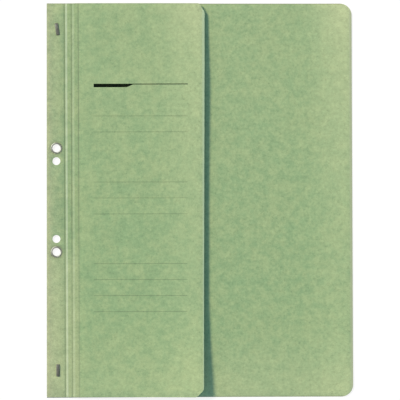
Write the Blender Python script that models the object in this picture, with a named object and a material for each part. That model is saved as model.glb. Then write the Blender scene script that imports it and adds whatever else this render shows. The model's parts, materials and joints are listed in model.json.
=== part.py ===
"""Eyelet folder with a half front cover: hinged card panels, metal eyelets, staples and a prong fastener.

Metres, +Z up. The folder lies closed on its back. X runs across it from the eyelet strip to the
open edge, Y runs along the spine, and Z is the thickness. Z = 0 is the surface it lies on.
"""

import math

import bmesh
import bpy
from mathutils import Matrix, Vector

MM = 0.001

# Card sheets
FOLDER_WIDTH = 236.0 * MM
FOLDER_HEIGHT = 304.0 * MM
CARD_THICKNESS = 0.4 * MM
BACK_CORNER_RADIUS = 9.2 * MM
HALF_COVER_UPPER_CUT = (4.1 * MM, 6.8 * MM)
HALF_COVER_LOWER_CUT = (5.6 * MM, 5.6 * MM)
CORNER_SEGMENTS = 8
STRIP_WIDTH = 14.5 * MM
SPINE_PANEL_WIDTH = 5.4 * MM
HALF_COVER_REACH = 121.7 * MM
SCORE_GAP = 0.3 * MM

# Heights of the closed folder
STRIP_BACK_BOTTOM = 0.45 * MM
STRIP_FRONT_BOTTOM = 1.0 * MM
HALF_COVER_BOTTOM_AT_SCORE = 2.55 * MM
HALF_COVER_BOTTOM_AT_EDGE = 4.2 * MM

# Filing holes, eyelets and staples in the strip
HOLE_INSET = 7.4 * MM
EYELET_PITCH = 80.0 * MM
PLAIN_HOLE_PITCH = 60.0 * MM
PLAIN_HOLE_RADIUS = 3.05 * MM
EYELET_BORE_RADIUS = 3.0 * MM
EYELET_WALL = 0.3 * MM
EYELET_FLANGE_RADIUS = 4.5 * MM
EYELET_FLANGE_EDGE = 0.15 * MM
EYELET_SHOULDER_RADIUS = 4.1 * MM
EYELET_CREST_RADIUS = 3.6 * MM
EYELET_CREST_DROP = 0.1 * MM
EYELET_RIM_RADIUS = 4.2 * MM
EYELET_RIM_ROUND = 0.15 * MM
EYELET_STEPS = 48
FITTING_GAP = 0.1 * MM
FITTING_HEIGHT = 0.5 * MM
CLINCH_HEIGHT = 0.35 * MM
PASSAGE_GAP = 0.15 * MM
STAPLE_LENGTH = 9.4 * MM
STAPLE_WIDTH = 2.6 * MM
STAPLE_LEG = 0.5 * MM
STAPLE_CLINCH = 3.2 * MM
UPPER_STAPLE_INSET = 8.0 * MM
UPPER_STAPLE_Y = 132.0 * MM
UPPER_STAPLE_TILT = math.radians(8.5)
LOWER_STAPLE_INSET = 8.6 * MM
LOWER_STAPLE_Y = -131.0 * MM

# Prong fastener on the inside of the back cover
FASTENER_INSET = 12.0 * MM
PRONG_PITCH = 80.25 * MM
PRONG_WIDTH = 6.0 * MM
PRONG_LENGTH = 31.5 * MM
PRONG_TIP_RADIUS = 2.4 * MM
FASTENER_SHEET = 0.25 * MM
BASE_BOTTOM = 0.5 * MM
STUB_TOP = 1.6 * MM
PRONG_AXIS_Z = 1.65 * MM
PRONG_LIFT = 0.05 * MM
PATCH_LENGTH = 136.0 * MM
PATCH_WIDTH = 22.0 * MM
PATCH_CROWN_WIDTH = 9.0 * MM
PATCH_SLOPE_WIDTH = 2.0 * MM
PATCH_EDGE_BOTTOM = 0.5 * MM
PATCH_CROWN_BOTTOM = 0.85 * MM
PATCH_CORNER_RADIUS = 4.0 * MM
BAR_LENGTH = 104.0 * MM
BAR_SHEET = 0.3 * MM
BAR_BOTTOM = 1.25 * MM
BAR_FLOOR_HALF = 4.0 * MM
BAR_FLANGE_BOTTOM = 1.7 * MM
BAR_FLANGE_INNER = 4.6 * MM
BAR_HALF_WIDTH = 6.2 * MM
BAR_CORNER_RADIUS = 1.5 * MM
SLOT_LENGTH = 7.0 * MM
SLOT_WIDTH = 1.4 * MM
SLIDER_LENGTH = 7.0 * MM
SLIDER_REST_Y = 4.5 * MM
SLIDER_HALF_WIDTH = 7.0 * MM
SLIDER_CAVITY_HALF = 6.45 * MM
SLIDER_LIP_INNER = 5.0 * MM
SLIDER_BOTTOM = 1.3 * MM
SLIDER_LIP_TOP = 1.55 * MM
SLIDER_ROOF_BOTTOM = 2.15 * MM
SLIDER_TOP = 2.4 * MM

# Places worked out from the sizes above
LEFT_EDGE = -FOLDER_WIDTH / 2
RIGHT_EDGE = FOLDER_WIDTH / 2
SCORE_1 = LEFT_EDGE + STRIP_WIDTH
SCORE_2 = SCORE_1 + SPINE_PANEL_WIDTH
SCORE_3 = SCORE_2 + SPINE_PANEL_WIDTH
HALF_COVER_EDGE = LEFT_EDGE + HALF_COVER_REACH
HOLE_X = LEFT_EDGE + HOLE_INSET
FASTENER_X = SCORE_3 + FASTENER_INSET
STRIP_TOP = STRIP_FRONT_BOTTOM + CARD_THICKNESS
FITTING_BOTTOM = STRIP_TOP + FITTING_GAP
FITTING_TOP = FITTING_BOTTOM + FITTING_HEIGHT
CUTTER_HEIGHT = 4 * SLIDER_TOP
UPPER, LOWER = 1, -1

# Working tolerances of the mesh
SAME_PLACE = 0.01 * MM
MERGE_DISTANCE = 0.001 * MM
SHARP_ANGLE = math.radians(40)

# Direction triples for outlines: outline first axis, outline second axis, extrusion axis
PLAN = (Vector((1, 0, 0)), Vector((0, 1, 0)), Vector((0, 0, 1)))
CROSS_SECTION = (Vector((1, 0, 0)), Vector((0, 0, 1)), Vector((0, 1, 0)))
SIDE_SECTION = (Vector((0, 1, 0)), Vector((0, 0, 1)), Vector((1, 0, 0)))


def clear_scene():
    for item in list(bpy.data.objects):
        bpy.data.objects.remove(item, do_unlink=True)


def finish(name, color, roughness, metallic):
    """A Principled material of one colour."""
    material = bpy.data.materials.new(name)
    material.use_nodes = True
    shader = material.node_tree.nodes["Principled BSDF"]
    shader.inputs["Base Color"].default_value = (*color, 1.0)
    shader.inputs["Roughness"].default_value = roughness
    shader.inputs["Metallic"].default_value = metallic
    material.diffuse_color = (*color, 1.0)
    return material


def add_object(name, mesh, material, location=(0, 0, 0), turn=(0, 0, 0)):
    """Turns a bmesh into a scene object with its origin at the given place."""
    data = bpy.data.meshes.new(name)
    mesh.to_mesh(data)
    mesh.free()
    part = bpy.data.objects.new(name, data)
    part.location = location
    part.rotation_euler = turn
    if material:
        data.materials.append(material)
    bpy.context.scene.collection.objects.link(part)
    return part


def extrude_outline(outline, start, depth, axes):
    """A closed prism: a flat outline carried from start along the third axis by depth."""
    first, second, third = axes
    mesh = bmesh.new()
    corners = [mesh.verts.new(first * a + second * b + third * start) for a, b in outline]
    face = mesh.faces.new(corners)
    grown = bmesh.ops.extrude_face_region(mesh, geom=[face])
    moved = [item for item in grown["geom"] if isinstance(item, bmesh.types.BMVert)]
    bmesh.ops.translate(mesh, verts=moved, vec=third * depth)
    bmesh.ops.recalc_face_normals(mesh, faces=mesh.faces)
    return mesh


def rectangle(left, right, low, high):
    return [(left, low), (right, low), (right, high), (left, high)]


def round_corners(mesh, axis, place, radius):
    """Rounds the upright edges of a plate that stand at one place along an axis, 0 for X and 1 for Y."""
    edges = [
        edge
        for edge in mesh.edges
        if all(abs(vert.co[axis] - place) < SAME_PLACE for vert in edge.verts)
        and abs(edge.verts[0].co.z - edge.verts[1].co.z) > SAME_PLACE
    ]
    bmesh.ops.bevel(
        mesh, geom=edges, offset=radius, segments=CORNER_SEGMENTS, profile=0.5, affect="EDGES", material=-1
    )


def card_plate(left, right, bottom):
    """A full-height card panel between two X places in its own frame."""
    half = FOLDER_HEIGHT / 2
    return extrude_outline(rectangle(left, right, -half, half), bottom, CARD_THICKNESS, PLAN)


def half_cover_outline(left, right):
    """The half cover in plan, with its two outer corners cut off straight."""
    half = FOLDER_HEIGHT / 2
    upper_width, upper_height = HALF_COVER_UPPER_CUT
    lower_width, lower_height = HALF_COVER_LOWER_CUT
    return [
        (left, -half),
        (right - lower_width, -half),
        (right, lower_height - half),
        (right, half - upper_height),
        (right - upper_width, half),
        (left, half),
    ]


def cutter(name, mesh, location=(0, 0, 0), turn=(0, 0, 0)):
    helper = add_object(name, mesh, None, location, turn)
    helper.hide_render = True
    helper.display_type = "WIRE"
    return helper


def cut(part, helper):
    modifier = part.modifiers.new(helper.name, "BOOLEAN")
    modifier.operation = "DIFFERENCE"
    modifier.solver = "EXACT"
    modifier.object = helper


def front_slope():
    """Slope angle of the front spine panels, which climb from the strip to the half cover."""
    return math.atan2(HALF_COVER_BOTTOM_AT_SCORE - STRIP_FRONT_BOTTOM, SCORE_3 - SCORE_1)


def half_cover_slope():
    return math.atan2(HALF_COVER_BOTTOM_AT_EDGE - HALF_COVER_BOTTOM_AT_SCORE, HALF_COVER_EDGE - SCORE_3)


def back_slope():
    """Slope angle of the back spine panels, which climb from the back cover to the strip."""
    return math.atan2(STRIP_BACK_BOTTOM, SCORE_3 - SCORE_1)


def build_back_panels(card):
    """The back sheet: full cover and two spine panels, hinged on its outer, lower face."""
    cover = card_plate(SCORE_3 + SCORE_GAP / 2, RIGHT_EDGE, 0)
    round_corners(cover, 0, RIGHT_EDGE, BACK_CORNER_RADIUS)
    add_object("back_cover", cover, card)
    length = (SCORE_3 - SCORE_1) / 2 / math.cos(back_slope())
    for name, hinge_x, hinge_z in (
        ("back_spine_inner", SCORE_3, 0),
        ("back_spine_outer", SCORE_2, STRIP_BACK_BOTTOM / 2),
    ):
        mesh = card_plate(SCORE_GAP / 2 - length, -SCORE_GAP / 2, 0)
        add_object(name, mesh, card, (hinge_x, 0, hinge_z), (0, back_slope(), 0))


def build_front_panels(card):
    """The front sheet: two spine panels and the half cover, hinged on its outer, upper face."""
    length = (SCORE_3 - SCORE_1) / 2 / math.cos(front_slope())
    cover_hinge_z = HALF_COVER_BOTTOM_AT_SCORE + CARD_THICKNESS
    for name, hinge_x, hinge_z in (
        ("front_spine_outer", SCORE_1, STRIP_TOP),
        ("front_spine_inner", SCORE_2, (STRIP_TOP + cover_hinge_z) / 2),
    ):
        mesh = card_plate(SCORE_GAP / 2, length - SCORE_GAP / 2, -CARD_THICKNESS)
        add_object(name, mesh, card, (hinge_x, 0, hinge_z), (0, -front_slope(), 0))
    reach = (HALF_COVER_EDGE - SCORE_3) / math.cos(half_cover_slope())
    mesh = extrude_outline(half_cover_outline(SCORE_GAP / 2, reach), -CARD_THICKNESS, CARD_THICKNESS, PLAN)
    add_object("front_half_cover", mesh, card, (SCORE_3, 0, cover_hinge_z), (0, -half_cover_slope(), 0))


def add_hole(mesh, y, radius):
    """Adds an upright cutting cylinder on the line of the filing holes."""
    bmesh.ops.create_cone(
        mesh,
        cap_ends=True,
        segments=EYELET_STEPS,
        radius1=radius,
        radius2=radius,
        depth=CUTTER_HEIGHT,
        matrix=Matrix.Translation((HOLE_X, y, 0)),
    )


def staple_places():
    return (
        ("upper_staple", LEFT_EDGE + UPPER_STAPLE_INSET, UPPER_STAPLE_Y, UPPER_STAPLE_TILT),
        ("lower_staple", LEFT_EDGE + LOWER_STAPLE_INSET, LOWER_STAPLE_Y, 0.0),
    )


def add_leg_slots(mesh, x, y, tilt):
    """Adds a cutting block for each leg of one staple."""
    place = Matrix.Translation((x, y, 0)) @ Matrix.Rotation(tilt, 4, "Z")
    for side in (UPPER, LOWER):
        centre = Matrix.Translation((0, side * (STAPLE_LENGTH - STAPLE_LEG) / 2, 0))
        size = Matrix.Diagonal(
            (STAPLE_WIDTH + 2 * PASSAGE_GAP, STAPLE_LEG + 2 * PASSAGE_GAP, CUTTER_HEIGHT, 1)
        )
        bmesh.ops.create_cube(mesh, size=1.0, matrix=place @ centre @ size)


def build_strip(card):
    """The two card layers of the eyelet strip with their filing holes and staple slots."""
    mesh = bmesh.new()
    for side in (UPPER, LOWER):
        add_hole(mesh, side * PLAIN_HOLE_PITCH / 2, PLAIN_HOLE_RADIUS)
        add_hole(mesh, side * EYELET_PITCH / 2, EYELET_BORE_RADIUS + EYELET_WALL + PASSAGE_GAP)
    for _, x, y, tilt in staple_places():
        add_leg_slots(mesh, x, y, tilt)
    holes = cutter("strip_holes", mesh)
    for name, bottom in (("strip_back_layer", STRIP_BACK_BOTTOM), ("strip_front_layer", STRIP_FRONT_BOTTOM)):
        layer = add_object(name, card_plate(LEFT_EDGE, SCORE_1 - SCORE_GAP / 2, bottom), card)
        cut(layer, holes)


def eyelet_profile():
    """Half section of a set eyelet: domed flange in front, barrel, rolled rim behind."""
    barrel = EYELET_BORE_RADIUS + EYELET_WALL
    return [
        (EYELET_BORE_RADIUS, EYELET_RIM_ROUND),
        (barrel, 0),
        (EYELET_RIM_RADIUS - EYELET_RIM_ROUND, 0),
        (EYELET_RIM_RADIUS, CLINCH_HEIGHT / 2),
        (EYELET_RIM_RADIUS - EYELET_RIM_ROUND, CLINCH_HEIGHT),
        (barrel, CLINCH_HEIGHT),
        (barrel, FITTING_BOTTOM),
        (EYELET_FLANGE_RADIUS, FITTING_BOTTOM),
        (EYELET_FLANGE_RADIUS, FITTING_BOTTOM + EYELET_FLANGE_EDGE),
        (EYELET_SHOULDER_RADIUS, FITTING_TOP - EYELET_CREST_DROP),
        (EYELET_CREST_RADIUS, FITTING_TOP),
        (barrel, FITTING_TOP - EYELET_CREST_DROP),
        (EYELET_BORE_RADIUS, FITTING_BOTTOM + EYELET_FLANGE_EDGE),
    ]


def build_eyelets(nickel):
    for name, side in (("upper_eyelet", UPPER), ("lower_eyelet", LOWER)):
        mesh = bmesh.new()
        ring = [mesh.verts.new((radius, 0, z)) for radius, z in eyelet_profile()]
        edges = [mesh.edges.new((ring[i - 1], ring[i])) for i in range(len(ring))]
        bmesh.ops.spin(
            mesh,
            geom=ring + edges,
            cent=(0, 0, 0),
            axis=(0, 0, 1),
            angle=2 * math.pi,
            steps=EYELET_STEPS,
            use_merge=True,
        )
        bmesh.ops.remove_doubles(mesh, verts=mesh.verts, dist=MERGE_DISTANCE)
        bmesh.ops.recalc_face_normals(mesh, faces=mesh.faces)
        eyelet = add_object(name, mesh, nickel, (HOLE_X, side * EYELET_PITCH / 2, 0))
        eyelet.data.shade_smooth()
        eyelet.data.set_sharp_from_angle(angle=SHARP_ANGLE)


def build_staples(wire):
    """Flat-wire staples: crown in front, two legs through the strip, ends clinched behind it."""
    half = STAPLE_LENGTH / 2
    inner = half - STAPLE_LEG
    clinch_end = half - STAPLE_CLINCH
    outline = [
        (-half, 0),
        (-clinch_end, 0),
        (-clinch_end, CLINCH_HEIGHT),
        (-inner, CLINCH_HEIGHT),
        (-inner, FITTING_BOTTOM),
        (inner, FITTING_BOTTOM),
        (inner, CLINCH_HEIGHT),
        (clinch_end, CLINCH_HEIGHT),
        (clinch_end, 0),
        (half, 0),
        (half, FITTING_TOP),
        (-half, FITTING_TOP),
    ]
    for name, x, y, tilt in staple_places():
        mesh = extrude_outline(outline, -STAPLE_WIDTH / 2, STAPLE_WIDTH, SIDE_SECTION)
        add_object(name, mesh, wire, (x, y, 0), (0, 0, tilt))


def slot_cutter():
    """One cutting block for each prong, through the patch and the cover bar."""
    mesh = bmesh.new()
    for side in (UPPER, LOWER):
        centre = Matrix.Translation((FASTENER_X, side * PRONG_PITCH / 2, BAR_BOTTOM))
        size = Matrix.Diagonal((SLOT_LENGTH, SLOT_WIDTH, CUTTER_HEIGHT, 1))
        bmesh.ops.create_cube(mesh, size=1.0, matrix=centre @ size)
    return cutter("prong_slots", mesh)


def build_fastener_base(steel):
    """The strip of the fastener under the patch, with its two ends turned up as stubs."""
    outer = (PRONG_PITCH + FASTENER_SHEET) / 2
    inner = outer - FASTENER_SHEET
    floor = BASE_BOTTOM + FASTENER_SHEET
    outline = [
        (-outer, BASE_BOTTOM),
        (outer, BASE_BOTTOM),
        (outer, STUB_TOP),
        (inner, STUB_TOP),
        (inner, floor),
        (-inner, floor),
        (-inner, STUB_TOP),
        (-outer, STUB_TOP),
    ]
    mesh = extrude_outline(outline, -PRONG_WIDTH / 2, PRONG_WIDTH, SIDE_SECTION)
    add_object("fastener_base", mesh, steel, (FASTENER_X, 0, 0))


def build_patch(card, slots):
    """The card strip glued over the fastener base: a low crown between two glued borders."""
    edge = PATCH_WIDTH / 2
    foot = PATCH_CROWN_WIDTH / 2 + PATCH_SLOPE_WIDTH
    crown = PATCH_CROWN_WIDTH / 2
    lower = [
        (-edge, PATCH_EDGE_BOTTOM),
        (-foot, PATCH_EDGE_BOTTOM),
        (-crown, PATCH_CROWN_BOTTOM),
        (crown, PATCH_CROWN_BOTTOM),
        (foot, PATCH_EDGE_BOTTOM),
        (edge, PATCH_EDGE_BOTTOM),
    ]
    upper = [(x, z + FASTENER_SHEET) for x, z in reversed(lower)]
    mesh = extrude_outline(lower + upper, -PATCH_LENGTH / 2, PATCH_LENGTH, CROSS_SECTION)
    for side in (-edge, edge):
        round_corners(mesh, 0, side, PATCH_CORNER_RADIUS)
    cut(add_object("fastener_patch", mesh, card, (FASTENER_X, 0, 0)), slots)


def build_cover_bar(steel, slots):
    """The cover bar: a channel with raised flanges that guide the sliders."""
    lower = [
        (-BAR_HALF_WIDTH, BAR_FLANGE_BOTTOM),
        (-BAR_FLANGE_INNER, BAR_FLANGE_BOTTOM),
        (-BAR_FLOOR_HALF, BAR_BOTTOM),
        (BAR_FLOOR_HALF, BAR_BOTTOM),
        (BAR_FLANGE_INNER, BAR_FLANGE_BOTTOM),
        (BAR_HALF_WIDTH, BAR_FLANGE_BOTTOM),
    ]
    upper = [(x, z + BAR_SHEET) for x, z in reversed(lower)]
    mesh = extrude_outline(lower + upper, -BAR_LENGTH / 2, BAR_LENGTH, CROSS_SECTION)
    for side in (-BAR_HALF_WIDTH, BAR_HALF_WIDTH):
        round_corners(mesh, 0, side, BAR_CORNER_RADIUS)
    cut(add_object("cover_bar", mesh, steel, (FASTENER_X, 0, 0)), slots)


def build_prongs(steel):
    """The two prongs, folded inwards onto the cover bar, each with its origin on its bend line."""
    for name, side in (("upper_prong", UPPER), ("lower_prong", LOWER)):
        half = PRONG_WIDTH / 2
        outline = rectangle(-half, half, -PRONG_LENGTH, -FASTENER_SHEET)
        mesh = extrude_outline(outline, PRONG_LIFT, FASTENER_SHEET, PLAN)
        round_corners(mesh, 1, -PRONG_LENGTH, PRONG_TIP_RADIUS)
        place = (FASTENER_X, side * PRONG_PITCH / 2, PRONG_AXIS_Z)
        turn = 0 if side == UPPER else math.pi
        add_object(name, mesh, steel, place, (0, 0, turn))


def build_sliders(steel):
    """The two locks: bent clips whose lips run under the flanges of the cover bar."""
    outline = [
        (-SLIDER_HALF_WIDTH, SLIDER_BOTTOM),
        (-SLIDER_LIP_INNER, SLIDER_BOTTOM),
        (-SLIDER_LIP_INNER, SLIDER_LIP_TOP),
        (-SLIDER_CAVITY_HALF, SLIDER_LIP_TOP),
        (-SLIDER_CAVITY_HALF, SLIDER_ROOF_BOTTOM),
        (SLIDER_CAVITY_HALF, SLIDER_ROOF_BOTTOM),
        (SLIDER_CAVITY_HALF, SLIDER_LIP_TOP),
        (SLIDER_LIP_INNER, SLIDER_LIP_TOP),
        (SLIDER_LIP_INNER, SLIDER_BOTTOM),
        (SLIDER_HALF_WIDTH, SLIDER_BOTTOM),
        (SLIDER_HALF_WIDTH, SLIDER_TOP),
        (-SLIDER_HALF_WIDTH, SLIDER_TOP),
    ]
    for name, side in (("upper_slider", UPPER), ("lower_slider", LOWER)):
        mesh = extrude_outline(outline, -SLIDER_LENGTH / 2, SLIDER_LENGTH, CROSS_SECTION)
        add_object(name, mesh, steel, (FASTENER_X, side * SLIDER_REST_Y, 0))


def parent_chain(*names):
    """Hangs each named object on the one before it, leaving it where it stands."""
    bpy.context.view_layer.update()
    for parent_name, child_name in zip(names, names[1:]):
        parent = bpy.data.objects[parent_name]
        child = bpy.data.objects[child_name]
        child.parent = parent
        child.matrix_parent_inverse = parent.matrix_world.inverted()


def main():
    clear_scene()
    card = finish("green_manila_card", (0.33, 0.45, 0.23), 0.85, 0.0)
    nickel = finish("nickel_plate", (0.62, 0.63, 0.60), 0.28, 1.0)
    wire = finish("staple_wire", (0.30, 0.31, 0.30), 0.4, 1.0)
    steel = finish("zinc_plated_steel", (0.66, 0.67, 0.68), 0.32, 1.0)
    build_back_panels(card)
    build_strip(card)
    build_front_panels(card)
    build_eyelets(nickel)
    build_staples(wire)
    slots = slot_cutter()
    build_fastener_base(steel)
    build_patch(card, slots)
    build_cover_bar(steel, slots)
    build_prongs(steel)
    build_sliders(steel)
    parent_chain("back_cover", "back_spine_inner", "back_spine_outer", "strip_back_layer")
    parent_chain("strip_back_layer", "strip_front_layer", "front_spine_outer")
    parent_chain("front_spine_outer", "front_spine_inner", "front_half_cover")
    for fitting in ("upper_eyelet", "lower_eyelet", "upper_staple", "lower_staple"):
        parent_chain("strip_back_layer", fitting)
    for inside in ("fastener_base", "fastener_patch", "cover_bar"):
        parent_chain("back_cover", inside)
    for moving in ("upper_prong", "lower_prong", "upper_slider", "lower_slider"):
        parent_chain("back_cover", moving)


if __name__ == "__main__":
    main()
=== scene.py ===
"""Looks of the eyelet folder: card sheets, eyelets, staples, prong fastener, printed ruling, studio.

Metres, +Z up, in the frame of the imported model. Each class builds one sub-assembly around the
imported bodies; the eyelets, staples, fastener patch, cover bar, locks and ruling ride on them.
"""

import json
import logging
import math
from dataclasses import dataclass
from enum import Enum
from typing import Any, Callable, Iterable, Mapping, Optional, Sequence, Union

import bmesh
import bpy
from bmesh.types import BMEdge, BMesh, BMFace, BMVert
from bpy.types import Material, NodeSocket, NodeTree, Object
from mathutils import Matrix, Vector


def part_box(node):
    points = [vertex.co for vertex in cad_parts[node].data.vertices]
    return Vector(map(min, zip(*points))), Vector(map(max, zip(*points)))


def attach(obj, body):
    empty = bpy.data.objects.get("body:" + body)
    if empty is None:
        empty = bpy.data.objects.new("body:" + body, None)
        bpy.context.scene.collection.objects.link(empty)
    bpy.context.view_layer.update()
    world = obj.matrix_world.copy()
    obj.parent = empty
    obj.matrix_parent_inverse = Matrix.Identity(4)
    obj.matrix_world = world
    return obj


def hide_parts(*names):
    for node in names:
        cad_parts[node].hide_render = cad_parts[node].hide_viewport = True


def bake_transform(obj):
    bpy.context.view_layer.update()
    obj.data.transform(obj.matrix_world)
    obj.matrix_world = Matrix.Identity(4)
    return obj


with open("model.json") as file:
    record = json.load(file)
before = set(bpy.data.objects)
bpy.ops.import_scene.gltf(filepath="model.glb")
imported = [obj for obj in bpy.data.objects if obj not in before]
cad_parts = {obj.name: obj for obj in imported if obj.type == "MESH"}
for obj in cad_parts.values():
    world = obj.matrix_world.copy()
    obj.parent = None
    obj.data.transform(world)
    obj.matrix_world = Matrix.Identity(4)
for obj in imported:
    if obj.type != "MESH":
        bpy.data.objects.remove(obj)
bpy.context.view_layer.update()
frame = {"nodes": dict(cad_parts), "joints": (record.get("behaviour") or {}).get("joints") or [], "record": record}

MM = 0.001
# Places closer than this are the same place.
TOUCH = 0.001 * MM
# A face is level where its normal's Z is above this.
LEVEL = 0.9
# Edges are rounded where their faces meet at more than this.
CREASE = math.radians(50)
# Edges stay crisp in the shading where their faces meet at more than this.
CRISP = math.radians(35)
PLACE = "card_place"
CUT_EDGE = "card_cut_edge"
LOG = logging.getLogger("folder")

Number = Union[float, "Wire"]
Colour = tuple[float, float, float, float]
Point2 = tuple[float, float]
Span = tuple[float, float]
Band = tuple[float, float, float, float]
Hole = tuple[float, float, float]


class Choice(Enum):
    """A choice among named options."""

    @property
    def label(self) -> str:
        """The word used in node and piece names."""
        return self.name.lower()


class End(Choice):
    """The two ends of the strip and of the fastener, with their side of Y."""

    UPPER = 1
    LOWER = -1


class Layer(Choice):
    """The two sheets, with the side of Z that each one's outer face looks to."""

    FRONT = 1
    BACK = -1


class Axis(Choice):
    """The three axes, with their place in a vector."""

    X = 0
    Y = 1
    Z = 2


def srgb(red: float, green: float, blue: float) -> Colour:
    """Turn an 8-bit sRGB colour into a linear one.

    Args:
        red: Red from 0 to 255.
        green: Green from 0 to 255.
        blue: Blue from 0 to 255.

    Returns:
        The linear colour with full alpha.
    """
    shares = [value / 255 for value in (red, green, blue)]
    linear = [s / 12.92 if s <= 0.04045 else ((s + 0.055) / 1.055) ** 2.4 for s in shares]
    return (*linear, 1.0)


def held(value: float) -> float:
    """Keep a share between 0 and 1."""
    return min(max(value, 0.0), 1.0)


def smooth(value: float) -> float:
    """Ease a share from 0 to 1, held at both ends."""
    share = held(value)
    return share * share * (3 - 2 * share)


class Wire:
    """An output socket that takes part in Python arithmetic."""

    def __init__(self, graph: "Graph", socket: NodeSocket) -> None:
        """Hold a socket and the graph that it belongs to."""
        self.graph = graph
        self.socket = socket

    def __add__(self, other: Number) -> "Wire":
        """Sum."""
        return self.graph.math("ADD", self, other)

    def __sub__(self, other: Number) -> "Wire":
        """Difference."""
        return self.graph.math("SUBTRACT", self, other)

    def __rsub__(self, other: Number) -> "Wire":
        """Difference with the value on the right."""
        return self.graph.math("SUBTRACT", other, self)

    def __mul__(self, other: Number) -> "Wire":
        """Product."""
        return self.graph.math("MULTIPLY", self, other)

    def __abs__(self) -> "Wire":
        """Size without sign."""
        return self.graph.math("ABSOLUTE", self)

    __radd__ = __add__
    __rmul__ = __mul__

    def ramp(self, low: float, high: float) -> "Wire":
        """Smooth step.

        Args:
            low: Value that gives 0.
            high: Value that gives 1.

        Returns:
            The eased share, held between 0 and 1.
        """
        inputs = {"Value": self, "From Min": low, "From Max": high}
        return self.graph.node("ShaderNodeMapRange", {"interpolation_type": "SMOOTHSTEP"}, inputs)

    def band(self, start: float, full: float, fading: float, end: float) -> "Wire":
        """A share that rises from start to full and falls from fading to end."""
        return self.ramp(start, full) * (1 - self.ramp(fading, end))


class Graph:
    """A node tree that is written as Python expressions."""

    def __init__(self, tree: NodeTree) -> None:
        """Empty a tree and hold it."""
        tree.nodes.clear()
        self.tree = tree

    def node(
        self,
        kind: str,
        settings: Optional[Mapping[str, Any]] = None,
        inputs: Optional[Mapping[Union[str, int], Any]] = None,
        output: Union[str, int] = 0,
    ) -> Optional[Wire]:
        """Add one node.

        Args:
            kind: Blender's type name of the node.
            settings: Properties of the node, set before its sockets.
            inputs: Values or wires by socket name or index.
            output: Name or index of the socket to return.

        Returns:
            The chosen output, or None where the node has no outputs.
        """
        made = self.tree.nodes.new(kind)
        for key, value in (settings or {}).items():
            setattr(made, key, value)
        for key, value in (inputs or {}).items():
            if isinstance(value, Wire):
                self.tree.links.new(value.socket, made.inputs[key])
            else:
                made.inputs[key].default_value = value
        return Wire(self, made.outputs[output]) if len(made.outputs) else None

    def math(self, operation: str, *values: Number) -> Wire:
        """One Math node on one or two values."""
        return self.node("ShaderNodeMath", {"operation": operation}, dict(enumerate(values)))

    def mix(self, first: Any, second: Any, share: Number) -> Wire:
        """Blend two colours, from the first at share 0 to the second at share 1."""
        # The Mix node's colour sockets are inputs 6 and 7 and output 2.
        return self.node("ShaderNodeMix", {"data_type": "RGBA"}, {0: share, 6: first, 7: second}, 2)

    def tone(self, colour: Any, strength: Number) -> Wire:
        """A colour made lighter or darker by a factor."""
        return self.node("ShaderNodeVectorMath", {"operation": "SCALE"}, {0: colour, "Scale": strength})

    def noise(self, where: Wire, per_metre: float, detail: float = 2.0) -> Wire:
        """Cloudy noise from 0 to 1, with so many waves in a metre and octaves of finer noise."""
        inputs = {"Vector": where, "Scale": per_metre, "Detail": detail}
        return self.node("ShaderNodeTexNoise", {}, inputs)

    def streaks(self, where: Wire, turn: float, length: float, width: float) -> Wire:
        """Noise drawn out along one direction of the XY plane.

        Args:
            where: Coordinates in metres.
            turn: Angle of the streaks from the X axis, in radians.
            length: Length of a streak.
            width: Width of a streak.

        Returns:
            A value from 0 to 1.
        """
        scale = (1 / length, 1 / width, 1 / width)
        inputs = {"Vector": where, "Rotation": (0, 0, turn), "Scale": scale}
        drawn_out = self.node("ShaderNodeMapping", {"vector_type": "POINT"}, inputs)
        return self.noise(drawn_out, per_metre=1.0, detail=1.0)

    def coordinate(self, where: Wire, axis: Axis) -> Wire:
        """One coordinate of a vector."""
        return self.node("ShaderNodeSeparateXYZ", {}, {0: where}, axis.value)

    def attribute(self, name: str, output: str) -> Wire:
        """A value stored on the piece's own mesh."""
        return self.node("ShaderNodeAttribute", {"attribute_name": name}, {}, output)

    def object_place(self) -> Wire:
        """Object coordinates in metres."""
        return self.node("ShaderNodeTexCoord", {}, {}, "Object")

    def bump(self, height: Wire, depth: float) -> Wire:
        """Normals of a relief whose height from 0 to 1 stands for a depth in metres."""
        return self.node("ShaderNodeBump", {}, {"Strength": 1.0, "Distance": depth, "Height": height})

    def surface(self, inputs: Mapping[str, Any]) -> None:
        """End the graph in a Principled surface with the given sockets."""
        shader = self.node("ShaderNodeBsdfPrincipled", {}, inputs)
        self.node("ShaderNodeOutputMaterial", {}, {"Surface": shader})


def weighed(layers: Iterable[Wire], shares: Iterable[float]) -> Wire:
    """Sum of the layers of a finish, each times its own share."""
    return sum(layer * share for layer, share in zip(layers, shares))


def new_material(name: str) -> tuple[Material, Graph]:
    """An empty material.

    Args:
        name: Name of the material.

    Returns:
        The material and its graph.
    """
    material = bpy.data.materials.new(name)
    material.use_nodes = True
    return material, Graph(material.node_tree)


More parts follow.
